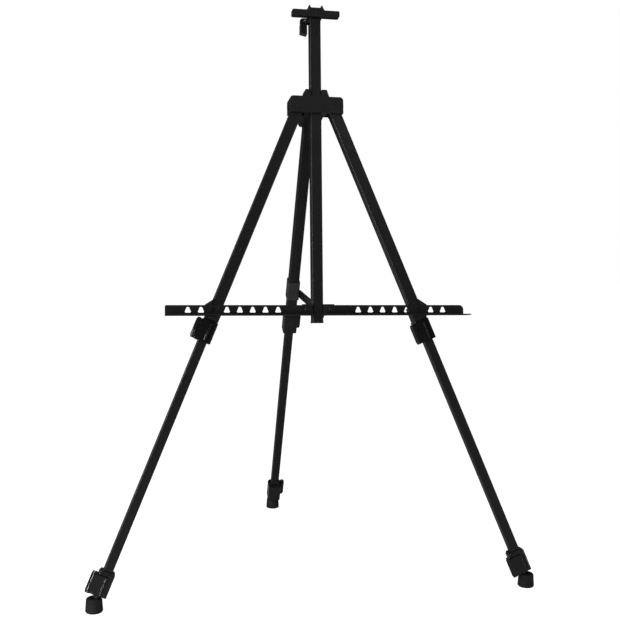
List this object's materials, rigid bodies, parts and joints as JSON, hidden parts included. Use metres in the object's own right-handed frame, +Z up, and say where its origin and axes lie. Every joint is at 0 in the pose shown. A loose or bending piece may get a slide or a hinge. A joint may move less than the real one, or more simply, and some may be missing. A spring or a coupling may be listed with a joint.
{
  "type": "tripod field easel",
  "caption": "Folding tripod field easel: leaning mast with sliding canvas clip, hooked tray arms with keyholes, telescopic square legs with flip locks, swivel rubber feet.",
  "frame": {"origin": "on the floor, at the centre of the footprint of the three feet's bounding box", "axes": "+Z up, +X to the right as seen from the front where the canvas stands, +Y to the back, away from the painter"},
  "size_m": [0.8589, 0.6428, 1.1205],
  "materials": {
    "black_tube": "satin black lacquer",
    "black_sheet": "satin black powder coat",
    "black_fastener": "blackened",
    "bright_steel": "bright zinc",
    "lock_plastic": "semi-gloss moulded",
    "black_plastic": "fine moulded grain",
    "grey_plastic": "fine moulded grain",
    "foot_rubber": "matt"
  },
  "bodies": {
    "easel_frame": {"hub": "black_plastic", "hub_side_screws": "black_fastener", "hub_front_pins": "black_plastic", "hub_rear_pin": "black_fastener", "mast_tube": "black_tube", "mast_foot_cap": "black_plastic", "mast_top_lock": "black_plastic", "mast_lever_pin": "bright_steel", "tray_bracket": "black_plastic", "arm_rivets": "black_fastener", "brace_rivet": "black_fastener"},
    "mast_rod": {"mast_rod": "black_tube", "top_clip": "black_plastic", "clip_pad": "foot_rubber"},
    "mast_lever": {"mast_lever": "lock_plastic"},
    "left_arm": {"left_arm": "black_sheet"},
    "right_arm": {"right_arm": "black_sheet"},
    "brace_strut": {"brace_strut": "black_tube", "brace_end_rivet": "black_fastener"},
    "brace_sleeve": {"brace_sleeve": "grey_plastic"},
    "left_upper_leg": {"left_knuckle": "black_plastic", "left_upper_tube": "black_tube", "left_upper_collar": "lock_plastic", "left_upper_lever_pin": "bright_steel", "left_stud_bracket": "black_plastic", "left_stud": "black_fastener"},
    "left_upper_lever": {"left_upper_lever": "lock_plastic"},
    "left_mid_leg": {"left_mid_tube": "black_tube", "left_lower_collar": "lock_plastic", "left_lower_lever_pin": "bright_steel"},
    "left_lower_lever": {"left_lower_lever": "lock_plastic"},
    "left_low_leg": {"left_low_tube": "black_tube", "left_ankle": "black_plastic"},
    "left_foot": {"left_foot": "foot_rubber"},
    "rear_upper_leg": {"rear_knuckle": "black_plastic", "rear_upper_tube": "black_tube", "rear_upper_collar": "lock_plastic", "rear_upper_lever_pin": "bright_steel"},
    "rear_upper_lever": {"rear_upper_lever": "lock_plastic"},
    "rear_mid_leg": {"rear_mid_tube": "black_tube", "rear_lower_collar": "lock_plastic", "rear_lower_lever_pin": "bright_steel"},
    "rear_lower_lever": {"rear_lower_lever": "lock_plastic"},
    "rear_low_leg": {"rear_low_tube": "black_tube", "rear_ankle": "black_plastic"},
    "rear_foot": {"rear_foot": "foot_rubber"},
    "right_upper_leg": {"right_knuckle": "black_plastic", "right_upper_tube": "black_tube", "right_upper_collar": "lock_plastic", "right_upper_lever_pin": "bright_steel", "right_stud_bracket": "black_plastic", "right_stud": "black_fastener"},
    "right_upper_lever": {"right_upper_lever": "lock_plastic"},
    "right_mid_leg": {"right_mid_tube": "black_tube", "right_lower_collar": "lock_plastic", "right_lower_lever_pin": "bright_steel"},
    "right_lower_lever": {"right_lower_lever": "lock_plastic"},
    "right_low_leg": {"right_low_tube": "black_tube", "right_ankle": "black_plastic"},
    "right_foot": {"right_foot": "foot_rubber"}
  },
  "joints": [
    {"name": "mast_extension", "type": "slide", "parent": "easel_frame", "child": "mast_rod", "axis": [0, 0.1132, 0.9936], "range_m": [0, 0.3]},
    {"name": "mast_lever_flip", "type": "hinge", "parent": "easel_frame", "child": "mast_lever", "pos_m": [-0.02, -0.18148, 1.09136], "axis": [0, -0.9936, 0.1132], "range_deg": [-30, 0]},
    {"name": "left_arm_fold", "type": "hinge", "parent": "easel_frame", "child": "left_arm", "pos_m": [-0.023, -0.25976, 0.54119], "axis": [0, 0.9936, -0.1132], "range_deg": [0, 90]},
    {"name": "right_arm_fold", "type": "hinge", "parent": "easel_frame", "child": "right_arm", "pos_m": [0.023, -0.25976, 0.54119], "axis": [0, -0.9936, 0.1132], "range_deg": [0, 90]},
    {"name": "left_leg_fold", "type": "hinge", "parent": "easel_frame", "child": "left_upper_leg", "pos_m": [-0.033, -0.20038, 0.92543], "axis": [0, -0.9936, 0.1132], "range_deg": [0, 22.5]},
    {"name": "left_upper_slide", "type": "slide", "parent": "left_upper_leg", "child": "left_mid_leg", "axis": [0.3827, 0.1046, 0.9179], "range_m": [0, 0.37]},
    {"name": "left_lower_slide", "type": "slide", "parent": "left_mid_leg", "child": "left_low_leg", "axis": [-0.3827, -0.1046, -0.9179], "range_m": [0, 0.39]},
    {"name": "left_upper_lever_flip", "type": "hinge", "parent": "left_upper_leg", "child": "left_upper_lever", "pos_m": [-0.22987, -0.26092, 0.50893], "axis": [0.3827, 0.1046, 0.9179], "range_deg": [-85, 0]},
    {"name": "left_lower_lever_flip", "type": "hinge", "parent": "left_mid_leg", "child": "left_lower_lever", "pos_m": [-0.41777, -0.31227, 0.05822], "axis": [0.3827, 0.1046, 0.9179], "range_deg": [-85, 0]},
    {"name": "left_foot_tilt", "type": "hinge", "parent": "left_low_leg", "child": "left_foot", "pos_m": [-0.41339, -0.30434, 0.013], "axis": [0, 0.9936, -0.1132], "range_deg": [-8, 22.5]},
    {"name": "rear_leg_fold", "type": "hinge", "parent": "easel_frame", "child": "rear_upper_leg", "pos_m": [0, -0.13338, 0.90543], "axis": [-1, 0, 0], "range_deg": [0, 32.6]},
    {"name": "rear_upper_slide", "type": "slide", "parent": "rear_upper_leg", "child": "rear_mid_leg", "axis": [0, -0.4404, 0.8978], "range_m": [0, 0.37]},
    {"name": "rear_lower_slide", "type": "slide", "parent": "rear_mid_leg", "child": "rear_low_leg", "axis": [0, 0.4404, -0.8978], "range_m": [0, 0.39]},
    {"name": "rear_upper_lever_flip", "type": "hinge", "parent": "rear_upper_leg", "child": "rear_upper_lever", "pos_m": [0.0209, 0.08262, 0.49457], "axis": [0, -0.4404, 0.8978], "range_deg": [-85, 0]},
    {"name": "rear_lower_lever_flip", "type": "hinge", "parent": "rear_mid_leg", "child": "rear_lower_lever", "pos_m": [0.0209, 0.29884, 0.05374], "axis": [0, -0.4404, 0.8978], "range_deg": [-85, 0]},
    {"name": "rear_foot_tilt", "type": "hinge", "parent": "rear_low_leg", "child": "rear_foot", "pos_m": [0, 0.30434, 0.013], "axis": [1, 0, 0], "range_deg": [-8, 26]},
    {"name": "right_leg_fold", "type": "hinge", "parent": "easel_frame", "child": "right_upper_leg", "pos_m": [0.033, -0.20038, 0.92543], "axis": [0, 0.9936, -0.1132], "range_deg": [0, 22.5]},
    {"name": "right_upper_slide", "type": "slide", "parent": "right_upper_leg", "child": "right_mid_leg", "axis": [-0.3827, 0.1046, 0.9179], "range_m": [0, 0.37]},
    {"name": "right_lower_slide", "type": "slide", "parent": "right_mid_leg", "child": "right_low_leg", "axis": [0.3827, -0.1046, -0.9179], "range_m": [0, 0.39]},
    {"name": "right_upper_lever_flip", "type": "hinge", "parent": "right_upper_leg", "child": "right_upper_lever", "pos_m": [0.19126, -0.26273, 0.49303], "axis": [-0.3827, 0.1046, 0.9179], "range_deg": [-85, 0]},
    {"name": "right_lower_lever_flip", "type": "hinge", "parent": "right_mid_leg", "child": "right_lower_lever", "pos_m": [0.37915, -0.31408, 0.04233], "axis": [-0.3827, 0.1046, 0.9179], "range_deg": [-85, 0]},
    {"name": "right_foot_tilt", "type": "hinge", "parent": "right_low_leg", "child": "right_foot", "pos_m": [0.41339, -0.30434, 0.013], "axis": [0, -0.9936, 0.1132], "range_deg": [-8, 22.5]},
    {"name": "brace_swing", "type": "hinge", "parent": "easel_frame", "child": "brace_strut", "pos_m": [0.0156, -0.22125, 0.53026], "axis": [1, 0, 0], "range_deg": [0, 68.2]},
    {"name": "brace_slide", "type": "slide", "parent": "rear_upper_leg", "child": "brace_sleeve", "axis": [0, -0.4404, 0.8978], "range_m": [0, 0.266]}
  ],
  "couplings": [
    {"joint": "brace_swing", "follows": "rear_leg_fold", "ratio": 2.0871},
    {"joint": "brace_slide", "follows": "rear_leg_fold", "m_per_rad": 0.46399}
  ]
}
